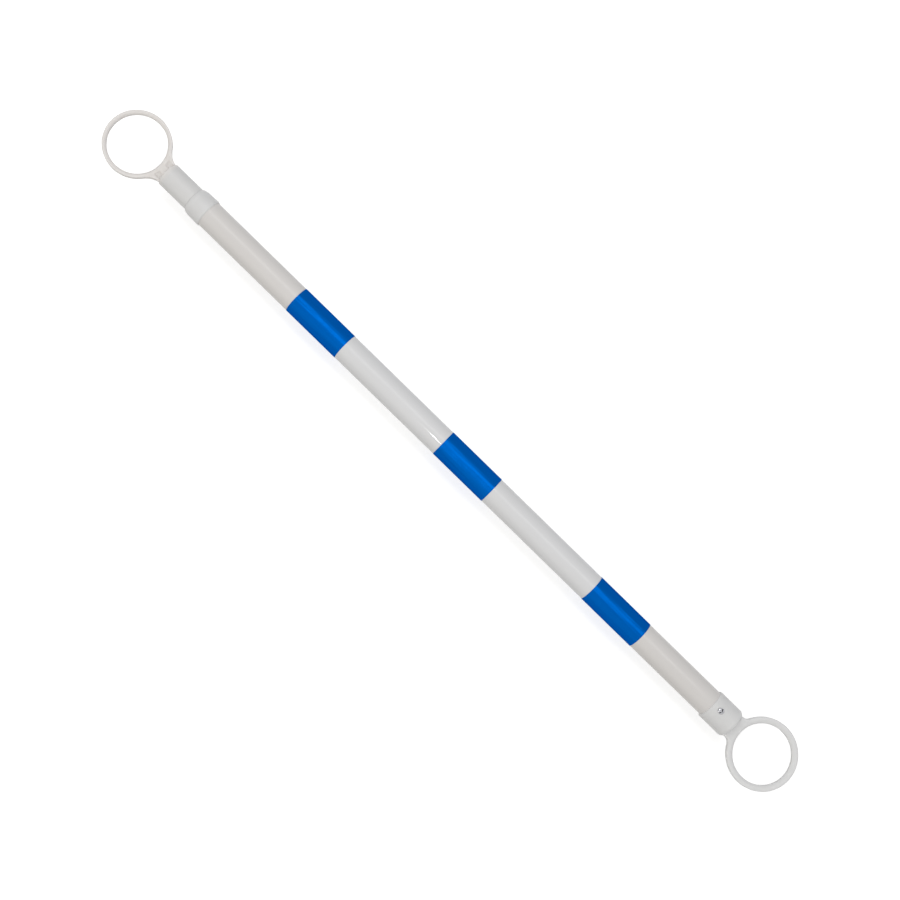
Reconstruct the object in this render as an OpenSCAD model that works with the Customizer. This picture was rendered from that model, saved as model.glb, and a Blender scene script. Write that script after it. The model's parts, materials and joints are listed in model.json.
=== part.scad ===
// Telescopic cone bar: two tubes that slide in each other, with a ring at each end that drops
// over the tip of a traffic cone. Millimetres, +Z up. The origin is the middle of the fixed
// ring's bore, +X runs along the bar to the sliding ring, and the bores point along Z.

/* [Outer tube] */
// Outside diameter of the outer tube
tube_od = 34; // [30:0.5:42]
// Wall of the outer tube
tube_wall = 1.2; // [1:0.1:1.8]
// Length of the outer tube
tube_len = 856; // [756:1:1500]

/* [Inner tube] */
// Radial gap between the two tubes
tube_gap = 2.5; // [2:0.1:3.5]
// Wall of the inner tube
inner_wall = 1.2; // [1:0.1:1.8]
// Length of inner tube that stays inside when the bar is drawn out
overlap = 97; // [60:1:200]

/* [Reflective bands] */
// Length of each band along the tube
band_len = 78; // [50:1:120]
// Distance from one band's middle to the next
band_pitch = 238; // [150:1:280]
// How far the middle band sits past the midpoint, towards the sliding ring
band_shift = 1.3; // [0:0.1:5]
// Distance from the fixed socket's rim to the first band
band_start = 112.6; // [60:0.2:180]
// Thickness of the film
band_film = 0.25; // [0.1:0.05:0.5]

/* [Mouth collar] */
// Length of the collar over the tube's mouth
collar_len = 24; // [16:1:40]
// Wall of the collar over the tube, at its thick end
collar_wall = 1.05; // [0.9:0.05:2]
// How much the collar's radius falls towards its front
collar_taper = 0.45; // [0:0.05:0.6]
// Thickness of the lip across the tube's mouth
collar_lip = 7.4; // [5:0.2:12]
// Height of the gentle slope along the lip
collar_slope = 0.65; // [0.4:0.05:0.9]
// Length of the steep slope at the collar's front
collar_nose = 3; // [2:0.1:5]
// Height of that steep slope
collar_drop = 1.7; // [1:0.1:2.2]

/* [Rings] */
// Bore of both rings at their narrow middle, for the cone's tip
ring_bore = 70; // [60:1:90]
// How much a bore's radius grows from its middle to each face
bore_lead = 2.4; // [1.5:0.1:3]
// Height of both rings along their bores
ring_height = 8; // [7:0.5:14]
// Radial wall of the fixed ring
fixed_wall = 7.8; // [6.4:0.2:12]
// Radial wall of the sliding ring
sliding_wall = 5.3; // [4.8:0.1:8]
// Rounding of the fixed ring's edges
fixed_edge = 2.2; // [0.8:0.1:2.4]
// Rounding of the sliding ring's edges
sliding_edge = 1.2; // [0.6:0.1:1.6]

/* [Necks] */
// Length of the fixed ring's neck, from the ring to its socket
fixed_neck = 5.2; // [3:0.2:16]
// Length of the sliding ring's neck, from the ring to its socket
sliding_neck = 8.3; // [5:0.1:16]
// Step from the fixed socket's outside down to its neck
fixed_step = 3.3; // [2:0.1:5]
// Step from the sliding socket's outside down to its neck
sliding_step = 2.1; // [1.6:0.1:4]
// Radius of the fixed neck's flare into its ring
fixed_flare = 9; // [6:0.5:16]
// Radius of the sliding neck's flare into its ring
sliding_flare = 27; // [12:1:40]
// Depth of the two pockets in the back of each neck
pocket_depth = 1.6; // [1:0.1:3]
// Thickness of the ribs round those pockets
pocket_rib = 1.6; // [1.2:0.1:3]
// Thickness of the rib between the two pockets
middle_rib = 10; // [4:0.5:14]

/* [Sockets] */
// Wall of both sockets
socket_wall = 1.75; // [1.4:0.05:3]
// Thickness of both sockets' closed ends
socket_end = 5; // [5:0.5:9]
// Length of outer tube inside the fixed socket
fixed_grip = 31.4; // [22:0.2:60]
// Length of inner tube inside the sliding socket
sliding_grip = 37.7; // [22:0.1:60]
// Rounding of the fixed socket's closed end
fixed_round = 5; // [3:0.1:5]
// Rounding of the sliding socket's closed end
sliding_round = 2.4; // [1.5:0.1:4]
// Height of the bevel on the fixed socket's open rim
fixed_rim = 1.3; // [0.2:0.1:1.4]
// Height of the bevel on the sliding socket's open rim
sliding_rim = 0.3; // [0.1:0.1:1.4]

/* [Socket screws] */
// Diameter of the screws' shanks
screw_d = 4; // [3:0.1:5]
// Length of the screws under the head
screw_len = 12; // [6:0.5:13]
// Diameter of the screws' heads
head_d = 7.2; // [6:0.1:9]
// Height of the screws' heads
head_h = 2.4; // [1.6:0.1:3.2]
// Distance from a socket's open rim to its screw
screw_back = 11.2; // [7:0.1:18]

/* [Slide parts] */
// Width of the friction ring
friction_w = 5.6; // [3:0.1:10]
// Split in the friction ring
friction_split = 2; // [1:0.5:4]
// Radial thickness of the friction ring
friction_wall = 2; // [1.4:0.1:3]
// Thickness of the tail plug's two flanges
flange_w = 3; // [2:0.5:6]
// Length of tail plug inside the inner tube
plug_len = 20; // [10:1:40]
// Wall of the tail plug
plug_wall = 2; // [1.5:0.1:4]
// Length of the stop bush
bush_len = 12; // [6:1:24]
// Room from the tail plug to the fixed socket's screw when the bar is closed
tail_room = 4.8; // [3:0.2:30]

/* [Fits] */
// Radial clearance of a tube in its socket, collar or plug
socket_fit = 0.05; // [0.02:0.01:0.1]
// Radial clearance of the collar's lip on the inner tube
guide_fit = 0.1; // [0.05:0.01:0.2]
// Radial clearance of the friction ring in the bore and on its groove
friction_fit = 0.05; // [0.02:0.01:0.1]
// Play of the friction ring along its groove, at each side
groove_play = 0.2; // [0.1:0.05:0.4]
// Radial clearance of the stop bush and the flanges in the bore
bore_room = 0.3; // [0.2:0.05:0.5]
// Gap left at either end of the slide's travel
stop_gap = 0.3; // [0.2:0.05:0.6]

/* [Hidden] */
$fn = 96;

WHITE_TUBE = [0.86, 0.84, 0.82];
WHITE_MOULDED = [0.87, 0.87, 0.87];
BLUE_FILM = [0, 0.4, 0.8];
STEEL = [0.72, 0.72, 0.75];
GREY_PLASTIC = [0.35, 0.36, 0.38];

// Cuts run past a face by this much
past = 1;
// Small bevel on the slide parts' edges
slide_bevel = 0.5;
// Length and height of the bevel at the collar's back edge
collar_bevel = [1.6, 0.6];
// Half the length of the bores' narrow middle
land_half = 1.2;
// Length of a rim's bevel against its height
rim_slope = 1.7;
// How far a neck's flare runs into its ring, so that the two faces cross and don't just touch
flare_bite = 0.15;
// Width of the flat round a screw's head, and its depth at the sides
flat_margin = 0.3;
flat_depth = 0.1;
// Length of the screws' points
point_len = 2.5;

pilot_r = screw_d / 2 + socket_fit;
flat_r = head_d / 2 + flat_margin;
tube_r = tube_od / 2;
bore_r = tube_r - tube_wall;
inner_r = bore_r - tube_gap;
inner_bore_r = inner_r - inner_wall;
fixed_socket_r = tube_r + socket_fit + socket_wall;
sliding_socket_r = inner_r + socket_fit + socket_wall;

// Places along the bar, from the fixed ring outwards
tube_x0 = ring_bore / 2 + fixed_wall + fixed_neck + socket_end;
tube_x1 = tube_x0 + tube_len;
fixed_rim_x = tube_x0 + fixed_grip;
fixed_screw_x = fixed_rim_x - screw_back;
collar_x1 = tube_x1 + collar_lip;
collar_x0 = collar_x1 - collar_len;
sliding_rim_x = collar_x1 + stop_gap;
sliding_screw_x = sliding_rim_x + screw_back;
inner_x1 = sliding_rim_x + sliding_grip;
sliding_x = inner_x1 + socket_end + sliding_neck + sliding_wall + ring_bore / 2;
tail_x0 = fixed_screw_x + screw_d / 2 + tail_room;
groove_w = friction_w + 2 * groove_play;
inner_x0 = tail_x0 + 2 * flange_w + groove_w;
bush_x1 = inner_x0 + overlap - stop_gap;
band_x = fixed_rim_x + band_start + band_len / 2;

// Turns a profile of (radius, distance along the bar) about the bar's axis
module turned(x = 0) {
    translate([x, 0, 0]) rotate([0, 90, 0]) rotate_extrude() children();
}

// A plain tube along the bar
module tube(outer, inner, x0, x1) {
    translate([x0, 0, 0]) rotate([0, 90, 0]) difference() {
        cylinder(r = outer, h = x1 - x0);
        translate([0, 0, -past]) cylinder(r = inner, h = x1 - x0 + 2 * past);
    }
}

// A rectangle with round corners
module soft_rectangle(w, h, r) {
    square([w - 2 * r, h], center = true);
    square([w, h - 2 * r], center = true);
    for (x = [-1, 1], y = [-1, 1])
        translate([x * (w / 2 - r), y * (h / 2 - r)]) circle(r = r);
}

// The section of a ring: soft edges, and a bore that widens from its narrow middle to both faces
module ring_section(wall, edge) {
    bore = ring_bore / 2;
    half = ring_height / 2;
    lead = max(bore_lead, 1.1 * edge);
    difference() {
        translate([bore + wall / 2, 0]) soft_rectangle(wall, ring_height, edge);
        for (side = [-1, 1])
            polygon([[bore - past, side * land_half], [bore, side * land_half],
                     [bore + lead, side * half], [bore + lead, side * (half + past)],
                     [bore - past, side * (half + past)]]);
    }
}

// Cuts one side of a neck: a cylinder that widens at both faces, which rounds the neck's edges
module flare_cut(flare, edge) {
    half = ring_height / 2;
    rotate_extrude() difference() {
        translate([0, -half - past]) square([flare + edge, 2 * (half + past)]);
        translate([flare, edge - half]) square([edge + past, 2 * (half - edge)]);
        for (side = [-1, 1])
            translate([flare + edge, side * (half - edge)]) circle(r = edge);
    }
}

// The flat neck between a ring and its socket, flared into the ring, with two pockets underneath
module neck(ring_r, wall, edge, neck_len, half_w, flare) {
    flare_y = half_w + flare;
    flare_x = sqrt(pow(ring_r - flare_bite + flare, 2) - pow(flare_y, 2));
    touch = ring_r / (ring_r + flare);
    socket_x = ring_r + neck_len;
    side_line = [[touch / 2 * flare_x, touch / 2 * flare_y], [touch * flare_x, touch * flare_y],
                 [flare_x, half_w], [flare_x + flare, half_w]];
    difference() {
        linear_extrude(ring_height, center = true) difference() {
            intersection() {
                polygon(concat(side_line, [for (i = [3:-1:0]) [side_line[i][0], -side_line[i][1]]]));
                translate([0, -ring_r]) square([socket_x + socket_end / 2, 2 * ring_r]);
            }
            circle(r = ring_r - wall / 3);
        }
        for (side = [-1, 1]) {
            translate([flare_x, side * flare_y, 0]) flare_cut(flare, edge);
            translate([0, 0, -ring_height / 2 - past])
                linear_extrude(pocket_depth + past) difference() {
                    mirror([0, side < 0 ? 1 : 0]) translate([0, middle_rib / 2])
                        square([socket_x - pocket_rib / 2, half_w - middle_rib / 2 - pocket_rib]);
                    circle(r = ring_r + pocket_rib / 2);
                }
        }
    }
}

// The closed cup over a tube's end, from its closed end along the bar
module socket(outer, inner, grip, round_r, rim) {
    cup_len = socket_end + grip;
    turned() difference() {
        union() {
            square([outer - round_r, cup_len]);
            translate([0, round_r]) square([outer, cup_len - round_r]);
            translate([outer - round_r, round_r]) circle(r = round_r);
        }
        translate([-past, socket_end]) square([inner + past, grip + past]);
        polygon([[outer, cup_len - rim_slope * rim], [outer + past, cup_len - rim_slope * rim],
                 [outer + past, cup_len + past], [outer - rim, cup_len + past],
                 [outer - rim, cup_len]]);
    }
}

// A ring with its neck and socket in one moulding, seen from the side that takes the screw
module ring_end(wall, edge, neck_len, step, flare, socket_r, tube_r, grip, round_r, rim) {
    ring_r = ring_bore / 2 + wall;
    socket_x = ring_r + neck_len;
    rotate_extrude() ring_section(wall, edge);
    neck(ring_r, wall, edge, neck_len, socket_r - step, flare);
    difference() {
        translate([socket_x, 0, 0]) socket(socket_r, tube_r + socket_fit, grip, round_r, rim);
        translate([socket_x + socket_end + grip - screw_back, 0, 0]) {
            cylinder(r = pilot_r, h = socket_r + past);
            translate([0, 0, screw_seat(socket_r)]) cylinder(r = flat_r, h = socket_r);
        }
    }
}

// Height of the flat under a screw's head on a socket
function screw_seat(socket_r) = sqrt(pow(socket_r, 2) - pow(flat_r, 2)) - flat_depth;

// A pan-head screw that points down, with its head's underside at z = 0
module pan_screw() {
    color(STEEL) {
        rotate_extrude() intersection() {
            translate([0, head_h - head_d]) circle(r = head_d);
            square([head_d / 2, head_h]);
        }
        translate([0, 0, point_len - screw_len])
            cylinder(d = screw_d, h = screw_len - point_len + head_h / 2);
        translate([0, 0, -screw_len])
            cylinder(d1 = screw_d / 4, d2 = screw_d, h = point_len);
    }
}

// A thin film wrapped round the outer tube
module blue_band(number) {
    x = band_x + (number - 1) * band_pitch + (number == 2 ? band_shift : 0);
    color(BLUE_FILM)
        tube(tube_r + band_film, tube_r, x - band_len / 2, x + band_len / 2);
}

module outer_tube() {
    color(WHITE_TUBE) difference() {
        tube(tube_r, bore_r, tube_x0, tube_x1);
        translate([fixed_screw_x, 0, 0]) cylinder(r = pilot_r, h = tube_od);
    }
}

module mouth_collar() {
    back_r = tube_r + socket_fit + collar_wall;
    lip_r = back_r - collar_taper;
    nose_r = lip_r - collar_slope;
    color(WHITE_MOULDED) turned(collar_x0) difference() {
        polygon([[0, 0], [back_r - collar_bevel[1], 0], [back_r, collar_bevel[0]],
                 [lip_r, collar_len - collar_lip], [nose_r, collar_len - collar_nose],
                 [nose_r - collar_drop, collar_len], [0, collar_len]]);
        translate([-past, -past])
            square([tube_r + socket_fit + past, collar_len - collar_lip + past]);
        translate([-past, 0]) square([inner_r + guide_fit + past, collar_len + past]);
    }
}

module fixed_ring() {
    color(WHITE_MOULDED)
        ring_end(fixed_wall, fixed_edge, fixed_neck, fixed_step, fixed_flare,
                 fixed_socket_r, tube_r, fixed_grip, fixed_round, fixed_rim);
}

module fixed_ring_screw() {
    translate([fixed_screw_x, 0, screw_seat(fixed_socket_r)]) pan_screw();
}

module inner_tube() {
    color(WHITE_TUBE) difference() {
        tube(inner_r, inner_bore_r, inner_x0, inner_x1);
        translate([sliding_screw_x, 0, -tube_od]) cylinder(r = pilot_r, h = tube_od);
    }
}

// The sliding ring is turned round, so its screw is underneath and its pockets are on top
module sliding_ring() {
    color(WHITE_MOULDED) translate([sliding_x, 0, 0]) rotate([0, 180, 0])
        ring_end(sliding_wall, sliding_edge, sliding_neck, sliding_step, sliding_flare,
                 sliding_socket_r, inner_r, sliding_grip, sliding_round, sliding_rim);
}

module sliding_ring_screw() {
    translate([sliding_screw_x, 0, -screw_seat(sliding_socket_r)]) rotate([180, 0, 0])
        pan_screw();
}

// A bush bonded on the inner tube, which meets the collar's lip when the bar is drawn out
module stop_bush() {
    r = bore_r - bore_room;
    color(GREY_PLASTIC) turned(bush_x1 - bush_len) polygon([
        [inner_r, 0], [r - slide_bevel, 0], [r, slide_bevel], [r, bush_len - slide_bevel],
        [r - slide_bevel, bush_len], [inner_r, bush_len]]);
}

// The plug in the inner tube's hidden end, with a groove between two flanges
module tail_plug() {
    flange_r = bore_r - bore_room;
    groove_r = bore_r - 2 * friction_fit - friction_wall;
    plug_r = inner_bore_r - socket_fit;
    head_len = 2 * flange_w + groove_w;
    color(GREY_PLASTIC) turned(tail_x0) difference() {
        union() {
            square([flange_r, flange_w]);
            square([groove_r, head_len]);
            translate([0, head_len - flange_w]) square([flange_r, flange_w]);
            square([plug_r, head_len + plug_len]);
        }
        translate([-past, flange_w])
            square([plug_r - plug_wall + past, head_len + plug_len]);
    }
}

// The split ring that rubs in the outer tube and holds the bar at its length
module friction_ring() {
    outer = bore_r - friction_fit;
    x = tail_x0 + flange_w + groove_play;
    color(GREY_PLASTIC) difference() {
        tube(outer, outer - friction_wall, x, x + friction_w);
        translate([x - past, -friction_split / 2, 0])
            cube([friction_w + 2 * past, friction_split, tube_od]);
    }
}

outer_tube();
mouth_collar();
fixed_ring();
fixed_ring_screw();
blue_band(1);  // blue_band_1
blue_band(2);  // blue_band_2
blue_band(3);  // blue_band_3
inner_tube();
sliding_ring();
sliding_ring_screw();
stop_bush();
tail_plug();
friction_ring();
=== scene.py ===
"""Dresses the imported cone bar: finer meshes, materials, a plain studio and the camera, on the CAD frame."""

import json
import math

import bpy
import numpy as np
from mathutils import Matrix, Vector


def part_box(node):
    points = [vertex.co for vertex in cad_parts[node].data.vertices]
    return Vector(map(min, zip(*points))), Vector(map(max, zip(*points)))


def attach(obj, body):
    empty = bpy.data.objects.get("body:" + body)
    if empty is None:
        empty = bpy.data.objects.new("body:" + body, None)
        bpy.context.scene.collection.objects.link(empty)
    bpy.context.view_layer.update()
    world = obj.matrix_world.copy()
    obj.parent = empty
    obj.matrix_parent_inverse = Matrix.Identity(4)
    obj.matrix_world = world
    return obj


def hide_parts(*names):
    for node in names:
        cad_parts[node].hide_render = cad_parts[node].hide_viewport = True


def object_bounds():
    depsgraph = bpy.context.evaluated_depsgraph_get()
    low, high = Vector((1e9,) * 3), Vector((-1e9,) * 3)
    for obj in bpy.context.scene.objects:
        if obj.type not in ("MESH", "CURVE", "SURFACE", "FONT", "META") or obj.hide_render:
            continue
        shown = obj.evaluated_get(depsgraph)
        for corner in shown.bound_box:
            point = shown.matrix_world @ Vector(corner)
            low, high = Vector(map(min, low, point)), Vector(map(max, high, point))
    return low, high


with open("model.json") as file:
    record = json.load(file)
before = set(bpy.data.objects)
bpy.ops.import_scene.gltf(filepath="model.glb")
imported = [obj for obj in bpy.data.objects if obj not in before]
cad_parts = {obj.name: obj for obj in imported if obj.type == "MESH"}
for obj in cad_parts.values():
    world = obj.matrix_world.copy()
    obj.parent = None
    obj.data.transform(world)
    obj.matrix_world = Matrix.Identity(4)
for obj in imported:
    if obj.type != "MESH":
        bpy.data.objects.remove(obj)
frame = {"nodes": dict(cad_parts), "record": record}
cad_box = [list(corner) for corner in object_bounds()]

# Sizes, in millimetres, read from the frame
MM = 0.001


def span(node, axis):
    """Lowest and highest coordinate of a CAD node along an axis, in millimetres."""
    low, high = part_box(node)
    return low[axis] / MM, high[axis] / MM


X, Y, Z = range(3)
MOUNTS = {mount["name"]: mount for mount in frame["record"]["mounts"]}
TUBE_X0, TUBE_X1 = span("outer_tube", X)
TUBE_R = span("outer_tube", Y)[1]
INNER_X0, INNER_X1 = span("inner_tube", X)
INNER_R = span("inner_tube", Y)[1]
COLLAR_X0, COLLAR_X1 = span("mouth_collar", X)
COLLAR_R = span("mouth_collar", Y)[1]
RING_REACH = cad_box[1][Y] / MM

# Details that the CAD leaves to this script, in millimetres
TUBE_WALL = 1.2
TUBE_FIT = 0.05
TUBE_EDGE = 0.4
TUBE_BORE_EDGE = 0.25
HANDLED_FROM = 210.0
HANDLED_TO = 260.0
LIP_FIT = 0.1
COLLAR_TAPER = 0.45
COLLAR_SLOPE = 0.65
COLLAR_BEVEL_LEN = 1.6
COLLAR_BEVEL_DROP = 0.6
NOSE_LEN = 3.0
NOSE_DROP = 1.7
RING_HEIGHT = 8.0
RING_CELL = 0.6
RING_MARGIN = 1.5
BORE_LEAD = 2.4
BORE_LEAD_POWER = 1.5
SOCKET_END = 5.0
SOCKET_BITE = 0.6
RIM_GAP = 0.06
# How far inside a socket's end the lighter ring tone begins: painted light over the fillet
THIN_AND_PAINTED_LIGHT_BLEND = 7.0
POCKET_DEPTH = 1.6
POCKET_EDGE = 1.6
POCKET_RIB = 1.6
MIDDLE_RIB = 10.0
SCREW_FLAT_R = 3.9
SCREW_FLAT_DEPTH = 0.1
SCREW_FLAT_EDGE = 0.15
FILM_THICKNESS = 0.22
FILM_GAP = 0.01
FILM_OVERLAP = 6.0
FILM_RAMP = 2.0
FILM_EDGE = 0.06

# The screws' details, in millimetres; a slope is the width lost to each millimetre of depth
HEAD_HEIGHT = 2.4
HEAD_EDGE = 0.5
DOME_RATIO = 2
DOME_EDGE = 0.3
ARM_HALF = 0.95
ARM_SLOPE = 0.42
ARM_SHORT = 1.8
ARM_LONG = 3.3
ARM_END_SLOPE = 0.35
ARM_DEPTH = 2.2
PIT_R = 1.15
PIT_SLOPE = 0.2
PIT_DEPTH = 1.3
RECESS_EDGE = 0.1
# Where the painted shade lies in a screw's recess
SHADED_DEPTH = 0.15
SHADED_R = 1.05
SHADED_RIM = 0.3
SHADED_FOOT = 0.1
SHANK_R = 1.95
THREAD_PITCH = 1.4
THREAD_DEPTH = 0.5
THREAD_EASE = 0.7
POINT_LEN = 2.5
POINT_TIP = 0.05
SCREW_TWIST = math.radians(-2)
SCREW_CELL = 0.15
SCREW_MARGIN = 0.5


# Mesh making

def to_object(name, points_mm, faces, body, slot, material, *nodes):
    """Makes a smooth piece from points in millimetres, which rides on a body and stands for CAD nodes."""
    mesh = bpy.data.meshes.new(name)
    mesh.from_pydata((np.asarray(points_mm) * MM).tolist(), [], [list(face) for face in faces])
    mesh.update()
    mesh.shade_smooth()
    piece = bpy.data.objects.new(name, mesh)
    bpy.context.scene.collection.objects.link(piece)
    mesh.materials.append(material)
    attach(piece, body)
    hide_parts(*nodes)
    return piece


def softened(corners, steps=6, hold=0.35):
    """Rounds a closed outline of (x, y, radius) corners, with points near each bend to hold its shading."""
    outline = []
    for i, (x, y, radius) in enumerate(corners):
        here = np.array([x, y])
        arms = []
        for other in (corners[i - 1], corners[(i + 1) % len(corners)]):
            arm = np.array(other[:2]) - here
            arms.append(arm / np.linalg.norm(arm))
        start = here + arms[0] * radius
        end = here + arms[1] * radius
        outline.append(start + arms[0] * hold * radius)
        for t in np.linspace(0, 1, steps):
            outline.append((1 - t) ** 2 * start + 2 * t * (1 - t) * here + t ** 2 * end)
        outline.append(end + arms[1] * hold * radius)
    return np.array(outline)


def lathe(outline, segments=160):
    """Turns a closed outline of (x, radius) points about the bar's axis: points and faces."""
    count = len(outline)
    turns = np.linspace(0, 2 * math.pi, segments, endpoint=False)
    points = np.array([(x, r * math.cos(a), r * math.sin(a)) for a in turns for x, r in outline])
    faces = []
    for s in range(segments):
        here = s * count
        there = (s + 1) % segments * count
        for i in range(count):
            j = (i + 1) % count
            faces.append((here + i, here + j, there + j, there + i))
    return points, faces


def surface_of(field, low, high, cell):
    """Meshes the surface where a distance field is zero: points and faces, in the field's own units."""
    low = np.asarray(low, float)
    counts = np.ceil((np.asarray(high) - low) / cell).astype(int) + 1
    axes = [low[i] + cell * np.arange(counts[i]) for i in range(3)]
    grid = np.stack(np.meshgrid(*axes, indexing="ij"), -1).reshape(-1, 3)
    inside = (field(grid) < 0).reshape(counts)
    corners = sum(inside[a:counts[0] - 1 + a, b:counts[1] - 1 + b, c:counts[2] - 1 + c].astype(int)
                  for a in (0, 1) for b in (0, 1) for c in (0, 1))
    crossed = (corners > 0) & (corners < 8)
    number = np.full(crossed.shape, -1)
    number[crossed] = np.arange(crossed.sum())
    points = low + cell * (np.argwhere(crossed) + 0.5)
    points = settled(field, points, cell)
    faces = []
    for axis in range(3):
        u, v = (axis + 1) % 3, (axis + 2) % 3
        first = np.moveaxis(inside, axis, 0)[:-1]
        second = np.moveaxis(inside, axis, 0)[1:]
        changes = np.moveaxis(first != second, 0, axis)
        at = np.argwhere(changes)
        at = at[(at[:, u] > 0) & (at[:, v] > 0)]
        ring = []
        for du, dv in ((1, 1), (0, 1), (0, 0), (1, 0)):
            cells = at.copy()
            cells[:, u] -= du
            cells[:, v] -= dv
            ring.append(number[cells[:, 0], cells[:, 1], cells[:, 2]])
        quads = np.stack(ring, 1)
        outward = inside[at[:, 0], at[:, 1], at[:, 2]]
        quads[~outward] = quads[~outward][:, ::-1]
        faces.append(quads)
    return points, np.concatenate(faces).tolist()


def settled(field, points, cell, rounds=6):
    """Moves points onto a field's surface along its slope, by at most half a cell a round."""
    step = cell * 0.02
    for _ in range(rounds):
        distance = field(points)
        rises = [field(points + step * axis) - field(points - step * axis) for axis in np.eye(3)]
        slope = np.stack(rises, 1) / (2 * step)
        steepness = np.maximum((slope ** 2).sum(1), 0.05)
        move = np.clip(distance / steepness, -cell / 2, cell / 2)
        points = points - slope * move[:, None]
    return points


# Distance fields, in millimetres

def soft_rect(a, b, half_a, half_b, radius):
    """Distance to a rectangle with round corners in the plane (a, b)."""
    over_a = np.abs(a) - half_a + radius
    over_b = np.abs(b) - half_b + radius
    outside = np.hypot(np.maximum(over_a, 0), np.maximum(over_b, 0))
    return outside + np.minimum(np.maximum(over_a, over_b), 0) - radius


def slab(plan, z, half, edge):
    """Distance to a flat plan of that half height, with round edges."""
    over_plan = plan + edge
    over_z = np.abs(z) - half + edge
    outside = np.hypot(np.maximum(over_plan, 0), np.maximum(over_z, 0))
    return outside + np.minimum(np.maximum(over_plan, over_z), 0) - edge


def joined(a, b, radius):
    """Union of two fields with a fillet of that radius."""
    corner = np.hypot(np.maximum(radius - a, 0), np.maximum(radius - b, 0))
    return np.maximum(radius, np.minimum(a, b)) - corner


def cut(a, b, radius):
    """Field a without field b, with an edge of that radius."""
    return -joined(-a, b, radius)


def flared_plan(x, y, ring_r, neck_half, flare, neck_end):
    """Distance in plan to a disc with a neck that flares into it."""
    y = np.abs(y)
    flare_y = neck_half + flare
    flare_x = math.sqrt((ring_r + flare) ** 2 - flare_y ** 2)
    disc = np.hypot(x, y) - ring_r
    strip = np.maximum(np.maximum(y - neck_half, -x), x - neck_end)
    from_x = x - flare_x
    from_y = y - flare_y
    in_flare = (from_x <= 0) & (flare_y * from_x - flare_x * from_y >= 0)
    return np.where(in_flare, flare - np.hypot(from_x, from_y), np.minimum(disc, strip))


def ring_end_field(points, bore_r, land, ring_r, edge, neck_half, flare, fillet, socket_x, rim_x, rim,
                   socket_r, round_r, tube_r, screw_x):
    """A ring with its neck and socket: ring at the origin, bar along +X, screw on top, pockets below."""
    x, y, z = points.T
    out = np.hypot(x, y)
    about = np.hypot(y, z)
    half = RING_HEIGHT / 2
    plate = slab(flared_plan(x, y, ring_r, neck_half, flare, socket_x + SOCKET_END / 2), z, half, edge)
    opening = np.maximum(np.abs(z) - land, 0) / (half - land)
    plate = cut(plate, out - bore_r - BORE_LEAD * opening ** BORE_LEAD_POWER, edge)
    pocket_half = (neck_half - POCKET_RIB - MIDDLE_RIB / 2) / 2
    pocket_y = MIDDLE_RIB / 2 + pocket_half
    pocket = soft_rect(x - ring_r, np.abs(y) - pocket_y, socket_x - POCKET_RIB / 2 - ring_r, pocket_half,
                       POCKET_EDGE)
    pocket = cut(pocket, out - ring_r - POCKET_RIB / 2, POCKET_EDGE)
    plate = cut(plate, slab(pocket, z + half, POCKET_DEPTH, POCKET_EDGE), POCKET_EDGE)
    length = rim_x - socket_x
    cup = soft_rect(x - socket_x - length, about, length, socket_r, round_r)
    cup = cut(cup, rim_x - x, rim)
    whole = joined(plate, cup, fillet)
    hollow = np.maximum(about - tube_r + SOCKET_BITE, socket_x + SOCKET_END - x)
    whole = np.maximum(whole, -hollow)
    seat_z = math.sqrt(socket_r ** 2 - SCREW_FLAT_R ** 2) - SCREW_FLAT_DEPTH
    flat = np.maximum(np.hypot(x - screw_x, y) - SCREW_FLAT_R, seat_z - z)
    return cut(whole, flat, SCREW_FLAT_EDGE)


# Materials

def node_material(name):
    """A material with its node tree and its Principled shader."""
    material = bpy.data.materials.new(name)
    material.use_nodes = True
    tree = material.node_tree
    return material, tree, tree.nodes["Principled BSDF"]


def add(tree, kind, inputs=None, **settings):
    """Adds a node, with its settings and with each input linked or set."""
    node = tree.nodes.new(kind)
    for key, value in settings.items():
        setattr(node, key, value)
    for key, value in (inputs or {}).items():
        if isinstance(value, bpy.types.NodeSocket):
            tree.links.new(value, node.inputs[key])
        else:
            node.inputs[key].default_value = value
    return node


def noise(tree, place, size_mm, detail=3.0, stretch=(1, 1, 1)):
    """Noise of about that size, stretched along the axes: its factor socket."""
    scale = [1 / (size_mm * MM * s) for s in stretch]
    mapping = add(tree, "ShaderNodeMapping", {"Vector": place, "Scale": scale})
    field = add(tree, "ShaderNodeTexNoise", {"Vector": mapping.outputs[0], "Scale": 1.0, "Detail": detail})
    return field.outputs["Fac"]


def ranged(tree, value, low, high, start=0.3, end=0.7):
    """Maps a factor from start and end to low and high."""
    node = add(tree, "ShaderNodeMapRange", {"Value": value, "From Min": start, "From Max": end,
                                            "To Min": low, "To Max": high})
    return node.outputs[0]


def bumped(tree, shader, heights):
    """Stacks bumps of (height socket, depth in millimetres) onto a shader."""
    normal = None
    for height, depth_mm in heights:
        inputs = {"Height": height, "Distance": depth_mm * MM, "Strength": 1.0}
        if normal:
            inputs["Normal"] = normal
        normal = add(tree, "ShaderNodeBump", inputs).outputs[0]
    tree.links.new(normal, shader.inputs["Normal"])


def mixed(tree, factor, first, second):
    """A colour between two colours or colour sockets, by a factor."""
    inputs = {"Factor": factor, "A": first, "B": second}
    return add(tree, "ShaderNodeMix", inputs, data_type="RGBA").outputs["Result"]


def tinted(tree, factor, dark, light):
    """A colour between a dark and a light one, by a factor."""
    return mixed(tree, factor, (*dark, 1), (*light, 1))


def off_middle(tree, place, middle_mm):
    """Distance along the bar from a place on it, to either side: its socket."""
    along = add(tree, "ShaderNodeSeparateXYZ", {"Vector": place}).outputs["X"]
    offset = add(tree, "ShaderNodeMath", {0: along, 1: middle_mm * MM}, operation="SUBTRACT")
    return add(tree, "ShaderNodeMath", {0: offset.outputs[0]}, operation="ABSOLUTE").outputs[0]


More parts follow.
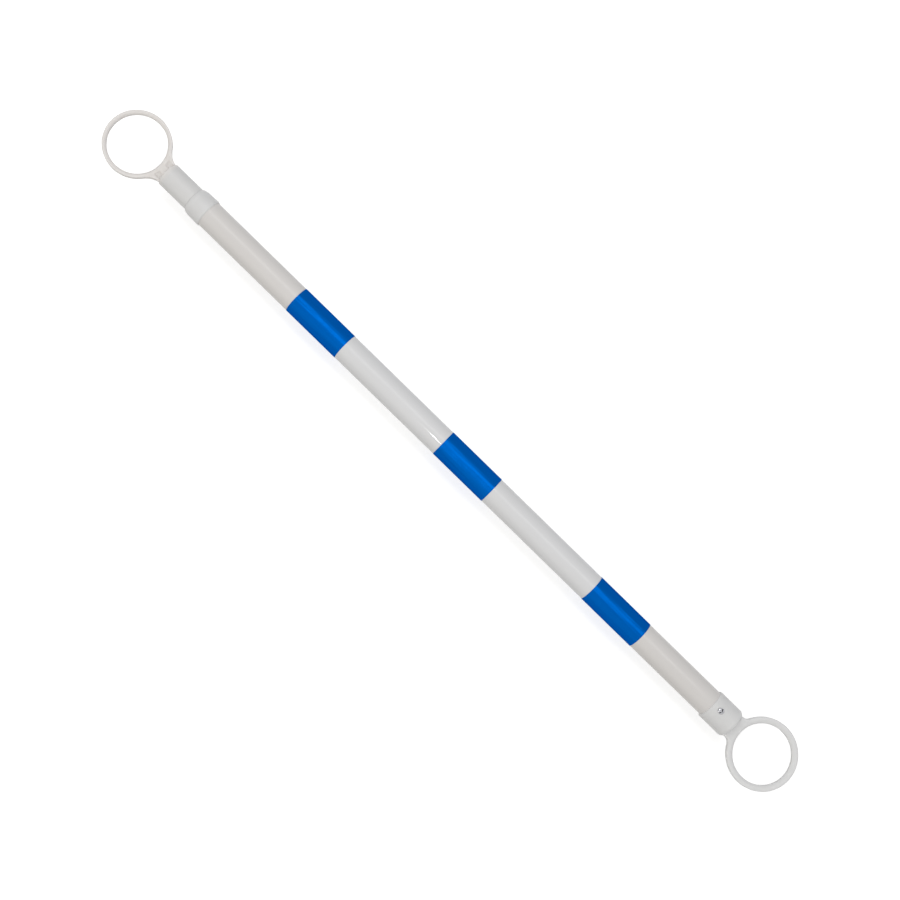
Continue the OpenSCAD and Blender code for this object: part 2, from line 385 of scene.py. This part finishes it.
def white_tube():
    """Glossy extruded tube: faint lines along the bar, light scuffs, a warmer white at the handled ends."""
    material, tree, shader = node_material("white_tube")
    place = add(tree, "ShaderNodeTexCoord").outputs["Object"]
    streaks = noise(tree, place, size_mm=1.1, detail=2.0, stretch=(160, 1, 1))
    cloud = noise(tree, place, size_mm=60, detail=2.0)
    scuffs = noise(tree, place, size_mm=14, detail=4.0)
    waves = noise(tree, place, size_mm=6, detail=1.0)
    off = off_middle(tree, place, sum(span("blue_band_2", X)) / 2)
    ends = ranged(tree, off, 0, 1, HANDLED_FROM * MM, HANDLED_TO * MM)
    clean = tinted(tree, cloud, (0.665, 0.667, 0.676), (0.69, 0.692, 0.701))
    handled = tinted(tree, cloud, (0.645, 0.625, 0.61), (0.665, 0.645, 0.63))
    tree.links.new(mixed(tree, ends, clean, handled), shader.inputs["Base Color"])
    tree.links.new(ranged(tree, scuffs, 0.42, 0.5), shader.inputs["Roughness"])
    shader.inputs["Specular IOR Level"].default_value = 0.3
    shader.inputs["Coat Weight"].default_value = 0.33
    shader.inputs["Coat Roughness"].default_value = 0.075
    bumped(tree, shader, [(streaks, 0.012), (waves, 0.02)])
    return material


def white_moulded(name, socket_color, ring_color):
    """Satin moulded plastic with a fine grain and faint flow marks; the slim rings let light through and have
    a lighter tone, whose blend reaches back over the sockets' ends as painted light in the fillets to the
    necks.
    """
    material, tree, shader = node_material(name)
    place = add(tree, "ShaderNodeTexCoord").outputs["Object"]
    flow = noise(tree, place, size_mm=22, detail=3.0, stretch=(2, 1, 1))
    polish = noise(tree, place, size_mm=5, detail=4.0)
    grain = noise(tree, place, size_mm=0.5, detail=2.0)
    fixed_end = TUBE_X0 - SOCKET_END
    sliding_end = INNER_X1 + SOCKET_END
    half = (sliding_end - fixed_end) / 2
    off = off_middle(tree, place, fixed_end + half)
    # The lighter ring tone ramps in over the last 7 mm before each socket's end: painted light over the
    # socket's rounded end and its fillet to the neck
    thin_and_painted_light = ranged(tree, off, 0, 1, (half - THIN_AND_PAINTED_LIGHT_BLEND) * MM, half * MM)
    shades = [tinted(tree, flow, [c - 0.01 for c in tone], [c + 0.01 for c in tone])
              for tone in (socket_color, ring_color)]
    tree.links.new(mixed(tree, thin_and_painted_light, *shades), shader.inputs["Base Color"])
    tree.links.new(ranged(tree, polish, 0.38, 0.5), shader.inputs["Roughness"])
    tree.links.new(ranged(tree, thin_and_painted_light, 0.2, 1.0, 0, 1), shader.inputs["Subsurface Weight"])
    shader.inputs["Subsurface Radius"].default_value = (1.0, 1.0, 1.0)
    shader.inputs["Subsurface Scale"].default_value = 3.5 * MM
    bumped(tree, shader, [(grain, 0.012), (flow, 0.05)])
    return material


def blue_film():
    """Blue retroreflective film: metallic sheen, fine beads and a gentle unevenness from wrapping."""
    material, tree, shader = node_material("blue_film")
    place = add(tree, "ShaderNodeTexCoord").outputs["Object"]
    beads = noise(tree, place, size_mm=0.35, detail=2.0)
    sheen = noise(tree, place, size_mm=9, detail=3.0)
    ripples = noise(tree, place, size_mm=5, detail=1.0, stretch=(14, 1, 1))
    color = tinted(tree, beads, (0.0, 0.074, 0.318), (0.0, 0.085, 0.36))
    tree.links.new(color, shader.inputs["Base Color"])
    tree.links.new(ranged(tree, sheen, 0.36, 0.42), shader.inputs["Roughness"])
    shader.inputs["Metallic"].default_value = 1.0
    shader.inputs["Specular Tint"].default_value = (0.15, 0.42, 0.55, 1)
    bumped(tree, shader, [(beads, 0.006), (ripples, 0.9)])
    return material


def steel(name, dark, light, smooth, rough):
    """Plated steel, a little uneven in tone and polish."""
    material, tree, shader = node_material(name)
    place = add(tree, "ShaderNodeTexCoord").outputs["Object"]
    tone = noise(tree, place, size_mm=1.5, detail=3.0)
    polish = noise(tree, place, size_mm=0.7, detail=3.0)
    grain = noise(tree, place, size_mm=0.3, detail=2.0)
    tree.links.new(tinted(tree, tone, dark, light), shader.inputs["Base Color"])
    tree.links.new(ranged(tree, polish, smooth, rough), shader.inputs["Roughness"])
    shader.inputs["Metallic"].default_value = 1.0
    bumped(tree, shader, [(grain, 0.006)])
    return material


def grey_plastic():
    """Matt grey slide plastic, for the parts inside the tube."""
    material, tree, shader = node_material("grey_plastic")
    place = add(tree, "ShaderNodeTexCoord").outputs["Object"]
    grain = noise(tree, place, size_mm=0.6, detail=3.0)
    polish = noise(tree, place, size_mm=4, detail=3.0)
    color = tinted(tree, grain, (0.09, 0.095, 0.10), (0.12, 0.125, 0.13))
    tree.links.new(color, shader.inputs["Base Color"])
    tree.links.new(ranged(tree, polish, 0.5, 0.65), shader.inputs["Roughness"])
    bumped(tree, shader, [(grain, 0.02)])
    return material


TUBE_WHITE = white_tube()
MOULDED_WHITE = white_moulded("white_moulded", (0.683, 0.683, 0.684), (0.733, 0.733, 0.734))
WARM_WHITE = white_moulded("white_moulded_warm", (0.663, 0.661, 0.658), (0.745, 0.72, 0.702))
FILM_BLUE = blue_film()
STEEL = steel("bright_steel", (0.42, 0.42, 0.45), (0.52, 0.52, 0.54), smooth=0.14, rough=0.28)
# Darker steel for the screws' recesses: painted shade
PAINTED_SHADE_STEEL = steel("recess_painted_shade", (0.1, 0.1, 0.11), (0.15, 0.15, 0.16), smooth=0.3, rough=0.45)
SLIDE_GREY = grey_plastic()


# Pieces

def tube_piece(name, x0, x1, outer_r, body, node):
    """A tube with softly cut ends."""
    inner_r = outer_r - TUBE_WALL
    outline = softened([(x0, inner_r, TUBE_BORE_EDGE), (x1, inner_r, TUBE_BORE_EDGE),
                        (x1, outer_r, TUBE_EDGE), (x0, outer_r, TUBE_EDGE)])
    return to_object(name, *lathe(outline), body, "white_tube", TUBE_WHITE, node)


def collar_piece():
    """The collar over the tube's mouth: a slight cone with a soft slope down to its lip."""
    lip_r = INNER_R + LIP_FIT
    sleeve_r = TUBE_R + TUBE_FIT
    shoulder_r = COLLAR_R - COLLAR_TAPER
    nose_r = shoulder_r - COLLAR_SLOPE
    inside = [(COLLAR_X0, sleeve_r, 0.02), (TUBE_X1, sleeve_r, 0.1), (TUBE_X1, lip_r, 0.2),
              (COLLAR_X1, lip_r, 0.2)]
    nose = [(COLLAR_X1, nose_r - NOSE_DROP, 0.1), (COLLAR_X1 - NOSE_LEN, nose_r, 0.9)]
    outside = [(TUBE_X1, shoulder_r, 1.6), (COLLAR_X0 + COLLAR_BEVEL_LEN, COLLAR_R, 0.8),
               (COLLAR_X0, COLLAR_R - COLLAR_BEVEL_DROP, 0.2)]
    outline = softened(inside + nose + outside)
    return to_object("mouth_collar_shell", *lathe(outline), "outer", "white_moulded", MOULDED_WHITE,
                     "mouth_collar")


def film_piece(node, segments=200):
    """A band of film wrapped once round the tube, its end lapped over its start underneath."""
    x0, x1 = span(node, X)
    lap = FILM_OVERLAP / TUBE_R
    ramp = FILM_RAMP / TUBE_R
    turns = np.linspace(0, 2 * math.pi + lap, segments)
    lift = np.clip((turns - 2 * math.pi + ramp) / ramp, 0, 1)
    base = TUBE_R + FILM_THICKNESS * lift * lift * (3 - 2 * lift) + FILM_GAP
    top = FILM_THICKNESS
    edge = FILM_EDGE
    ring = [(x0, 0.0), (x0, top - edge), (x0 + edge, top), (x0 + 4 * edge, top),
            (x1 - 4 * edge, top), (x1 - edge, top), (x1, top - edge), (x1, 0.0)]
    points = []
    for turn, r in zip(turns, base):
        angle = turn - math.pi / 2 - lap / 2
        for x, height in ring:
            points.append((x, (r + height) * math.cos(angle), (r + height) * math.sin(angle)))
    count = len(ring)
    faces = [tuple(range(count)), tuple(reversed(range((segments - 1) * count, segments * count)))]
    for s in range(segments - 1):
        for i in range(count):
            j = (i + 1) % count
            faces.append((s * count + i, (s + 1) * count + i, (s + 1) * count + j, s * count + j))
    return to_object(node + "_film", points, faces, "outer", "blue_film", FILM_BLUE, node)


def ring_piece(name, body, which, turned, material, rim_x, tube_r, tube_end, **shape):
    """A moulded ring end, placed at its bore; the sliding one is turned half round about Y."""
    node = which + "_ring"
    mount = MOUNTS[node + "_bore"]
    centre = np.array(mount["pos_m"]) / MM
    low, high = span(node, X)
    screw_x = sum(span(node + "_screw", X)) / 2
    ring_r = high - centre[X] if turned else centre[X] - low
    socket_r = span(node, Z)[1]
    shape.update(bore_r=mount["dims"]["r_mm"], land=mount["dims"]["length_mm"] / 2, ring_r=ring_r,
                 socket_x=abs(tube_end - centre[X]) - SOCKET_END, rim_x=abs(rim_x - centre[X]),
                 socket_r=socket_r, tube_r=tube_r, screw_x=abs(screw_x - centre[X]))
    side = ring_r + RING_MARGIN
    height = max(socket_r, RING_HEIGHT / 2) + RING_MARGIN
    points, faces = surface_of(lambda places: ring_end_field(places, **shape), (-side, -side, -height),
                               (shape["rim_x"] + RING_MARGIN, side, height), RING_CELL)
    if turned:
        points[:, (X, Z)] *= -1
    return to_object(name, points + centre, faces, body, "white_moulded", material, node)


def dome_field(out, z, head_r):
    """Distance to the large sphere that domes a screw's head."""
    dome_r = DOME_RATIO * head_r
    return np.sqrt(out ** 2 + (z - HEAD_HEIGHT + dome_r) ** 2) - dome_r


def recess_field(x, y, depth):
    """A cross of narrowing arms, one pair longer, round a pit with a flat floor; depth is below zero."""
    arm = ARM_HALF + ARM_SLOPE * depth
    along_x = ARM_SHORT + ARM_END_SLOPE * depth
    along_y = ARM_LONG + ARM_END_SLOPE * depth
    slot_x = np.maximum(np.abs(y) - arm, np.abs(x) - along_x)
    slot_y = np.maximum(np.abs(x) - arm, np.abs(y) - along_y)
    arms = np.maximum(np.minimum(slot_x, slot_y), -depth - ARM_DEPTH)
    pit = np.maximum(np.hypot(x, y) - PIT_R - PIT_SLOPE * depth, -depth - PIT_DEPTH)
    return np.minimum(arms, pit)


def shank_field(x, y, z, length):
    """A threaded shank that narrows to its point."""
    turn = np.arctan2(y, x) / (2 * math.pi)
    ridge = np.abs((z / THREAD_PITCH - turn) % 1.0 - 0.5) * 2
    thread_r = SHANK_R - THREAD_DEPTH * (1 - np.maximum(2 * ridge - 1, 0))
    narrowing = np.clip((z + length) / POINT_LEN, POINT_TIP, 1)
    shank = np.hypot(x, y) - thread_r * narrowing
    return np.maximum(np.maximum(shank, z - HEAD_HEIGHT / 3), -z - length)


def screw_field(points, head_r, length):
    """A pan-head screw that points down, with a recess and a thread; its head's underside is at z = 0."""
    x, y, z = points.T
    out = np.hypot(x, y)
    head = soft_rect(out, z - HEAD_HEIGHT, head_r, HEAD_HEIGHT, HEAD_EDGE)
    head = -joined(-head, -dome_field(out, z, head_r), DOME_EDGE)
    head = cut(head, recess_field(x, y, z - HEAD_HEIGHT), RECESS_EDGE)
    return np.minimum(head, shank_field(x, y, z, length) * THREAD_EASE)


def painted_shade_faces(points, faces, head_r):
    """Whether each face of a screw lies in the arms of its recess, where darker steel paints the recess's
    shade.
    """
    x, y, z = points[np.array(faces)].mean(1).T
    out = np.hypot(x, y)
    sunk = dome_field(out, z, head_r) < -SHADED_DEPTH
    return sunk & (out > SHADED_R) & (out < head_r - SHADED_RIM) & (z > SHADED_FOOT)


def screw_piece(name, node, up, body):
    """A screw with a recess in place of a CAD one, its head up or down, with shade painted into the recess.
    """
    low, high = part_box(node)
    head_r = (high[X] - low[X]) / MM / 2
    length = (high[Z] - low[Z]) / MM - HEAD_HEIGHT
    side = head_r + SCREW_MARGIN
    points, faces = surface_of(lambda places: screw_field(places, head_r, length),
                               (-side, -side, -length - SCREW_MARGIN),
                               (side, side, HEAD_HEIGHT + SCREW_MARGIN), SCREW_CELL)
    shaded = painted_shade_faces(points, faces, head_r)
    points = points @ np.array(Matrix.Rotation(SCREW_TWIST, 3, "Z")).T
    middle_x = (low[X] + high[X]) / MM / 2
    seat = high[Z] / MM - HEAD_HEIGHT if up else low[Z] / MM + HEAD_HEIGHT
    if not up:
        points[:, (Y, Z)] *= -1
    piece = to_object(name, points + np.array([middle_x, 0, seat]), faces, body, "steel", STEEL, node)
    # The recess faces take the darker steel: painted shade
    piece.data.materials.append(PAINTED_SHADE_STEEL)
    piece.data.polygons.foreach_set("material_index", shaded.astype(int).tolist())
    return piece


tube_piece("outer_tube_wall", TUBE_X0, TUBE_X1, TUBE_R, "outer", "outer_tube")
tube_piece("inner_tube_wall", INNER_X0, INNER_X1, INNER_R, "inner", "inner_tube")
collar_piece()
for number in (1, 2, 3):
    film_piece(f"blue_band_{number}")
ring_piece("fixed_ring_moulding", "outer", "fixed", False, MOULDED_WHITE, span("fixed_ring", X)[1], TUBE_R,
           TUBE_X0, edge=2.2, neck_half=15.5, flare=9, fillet=0.8, rim=2.0, round_r=5)
ring_piece("sliding_ring_moulding", "inner", "sliding", True, WARM_WHITE, COLLAR_X1 + RIM_GAP, INNER_R,
           INNER_X1, edge=1.2, neck_half=13, flare=27, fillet=0.5, rim=0.3, round_r=2.4)
screw_piece("fixed_ring_screw_head", "fixed_ring_screw", True, "outer")
screw_piece("sliding_ring_screw_head", "sliding_ring_screw", False, "inner")
for hidden in ("stop_bush", "tail_plug", "friction_ring"):
    node = frame["nodes"][hidden]
    node.data.materials.clear()
    node.data.materials.append(SLIDE_GREY)


# Camera, at the photograph's viewing angle
VIEW_DISTANCE = 1.65
VIEW_TILT = math.radians(8)
BAR_ANGLE = math.radians(135.68)
MM_PER_PIXEL = 1.155
IMAGE_SIZE = 900
VIEW_CENTRE = Vector((0.503, 0.0003, 0.0))
SENSOR = 36.0


def place_camera():
    """Looks down on the bar, which runs from the image's upper left to its lower right."""
    back = Vector((0, math.sin(VIEW_TILT), math.cos(VIEW_TILT)))
    along = Vector((1, 0, 0))
    across = back.cross(along)
    right = along * math.cos(BAR_ANGLE) - across * math.sin(BAR_ANGLE)
    up = along * math.sin(BAR_ANGLE) + across * math.cos(BAR_ANGLE)
    data = bpy.data.cameras.new("camera")
    data.sensor_width = SENSOR
    data.lens = SENSOR * VIEW_DISTANCE / (MM_PER_PIXEL * MM) / IMAGE_SIZE
    camera = bpy.data.objects.new("camera", data)
    bpy.context.scene.collection.objects.link(camera)
    turn = Matrix((right, up, back)).transposed().to_4x4()
    camera.matrix_world = Matrix.Translation(VIEW_CENTRE + back * VIEW_DISTANCE) @ turn
    bpy.context.scene.camera = camera


# Floor, light and background
FLOOR_GAP_MM = 1.0
FLOOR_HALF = 1.8
FLOOR_X = 0.5


def seen_directly(tree):
    """1 on rays that show the background: from the camera, in reflections and through glass."""
    path = add(tree, "ShaderNodeLightPath").outputs
    first = add(tree, "ShaderNodeMath", {0: path["Is Camera Ray"], 1: path["Is Glossy Ray"]},
                operation="MAXIMUM")
    return add(tree, "ShaderNodeMath", {0: first.outputs[0], 1: path["Is Transmission Ray"]},
               operation="MAXIMUM").outputs[0]


def place_floor():
    """A pale floor that shows white and keeps a soft shadow, low enough for the sliding ring to turn."""
    half = FLOOR_HALF
    corners = [(-half, -half, 0), (half, -half, 0), (half, half, 0), (-half, half, 0)]
    mesh = bpy.data.meshes.new("floor")
    mesh.from_pydata(corners, [], [(0, 1, 2, 3)])
    floor = bpy.data.objects.new("floor", mesh)
    floor.location = (FLOOR_X, 0, -(RING_REACH + FLOOR_GAP_MM) * MM)
    bpy.context.scene.collection.objects.link(floor)
    material, tree, shader = node_material("floor")
    tree.nodes.remove(shader)
    lit = add(tree, "ShaderNodeBsdfDiffuse", {"Color": (0.33, 0.33, 0.33, 1)})
    shown = add(tree, "ShaderNodeBsdfDiffuse", {"Color": (0.8, 0.8, 0.8, 1)})
    glow = add(tree, "ShaderNodeEmission", {"Color": (1, 1, 1, 1), "Strength": 0.48})
    pale = add(tree, "ShaderNodeAddShader", {0: shown.outputs[0], 1: glow.outputs[0]})
    shaders = {0: seen_directly(tree), 1: lit.outputs[0], 2: pale.outputs[0]}
    both = add(tree, "ShaderNodeMixShader", shaders)
    tree.links.new(both.outputs[0], tree.nodes["Material Output"].inputs["Surface"])
    mesh.materials.append(material)


def area_light(name, along, lean, distance, size, power, color=(1, 1, 1)):
    """A rectangular light over the bar, moved along it and leaning to +Y; its size is along and across."""
    lean = math.radians(lean)
    data = bpy.data.lights.new(name, "AREA")
    data.shape = "RECTANGLE"
    data.size, data.size_y = size
    data.energy = power
    data.color = color
    light = bpy.data.objects.new(name, data)
    back = Vector((0, math.sin(lean), math.cos(lean)))
    side = Vector((1, 0, 0))
    turn = Matrix((side, back.cross(side), back)).transposed().to_4x4()
    light.matrix_world = Matrix.Translation(VIEW_CENTRE + side * along + back * distance) @ turn
    bpy.context.scene.collection.objects.link(light)


def place_lights():
    """Soft light from above and from one side, a small lamp for the glint, and a pale surround."""
    area_light("strip", along=0.36, lean=-11, distance=1.85, size=(2.4, 0.5), power=10.4)
    area_light("softbox", along=0.36, lean=55, distance=2.0, size=(2.6, 1.6), power=6.2,
               color=(1, 0.93, 0.78))
    area_light("spark", along=0.04, lean=24, distance=1.6, size=(0.02, 0.12), power=1.5)
    world = bpy.data.worlds.new("surround")
    bpy.context.scene.world = world
    world.use_nodes = True
    tree = world.node_tree
    tree.nodes.clear()
    lit = add(tree, "ShaderNodeBackground", {"Color": (1, 1, 1, 1), "Strength": 0.6})
    shown = add(tree, "ShaderNodeBackground", {"Color": (1, 1, 1, 1), "Strength": 1.0})
    shaders = {0: seen_directly(tree), 1: lit.outputs[0], 2: shown.outputs[0]}
    both = add(tree, "ShaderNodeMixShader", shaders)
    add(tree, "ShaderNodeOutputWorld", {"Surface": both.outputs[0]})


place_camera()
place_floor()
place_lights()
bpy.context.scene.view_settings.view_transform = "Standard"
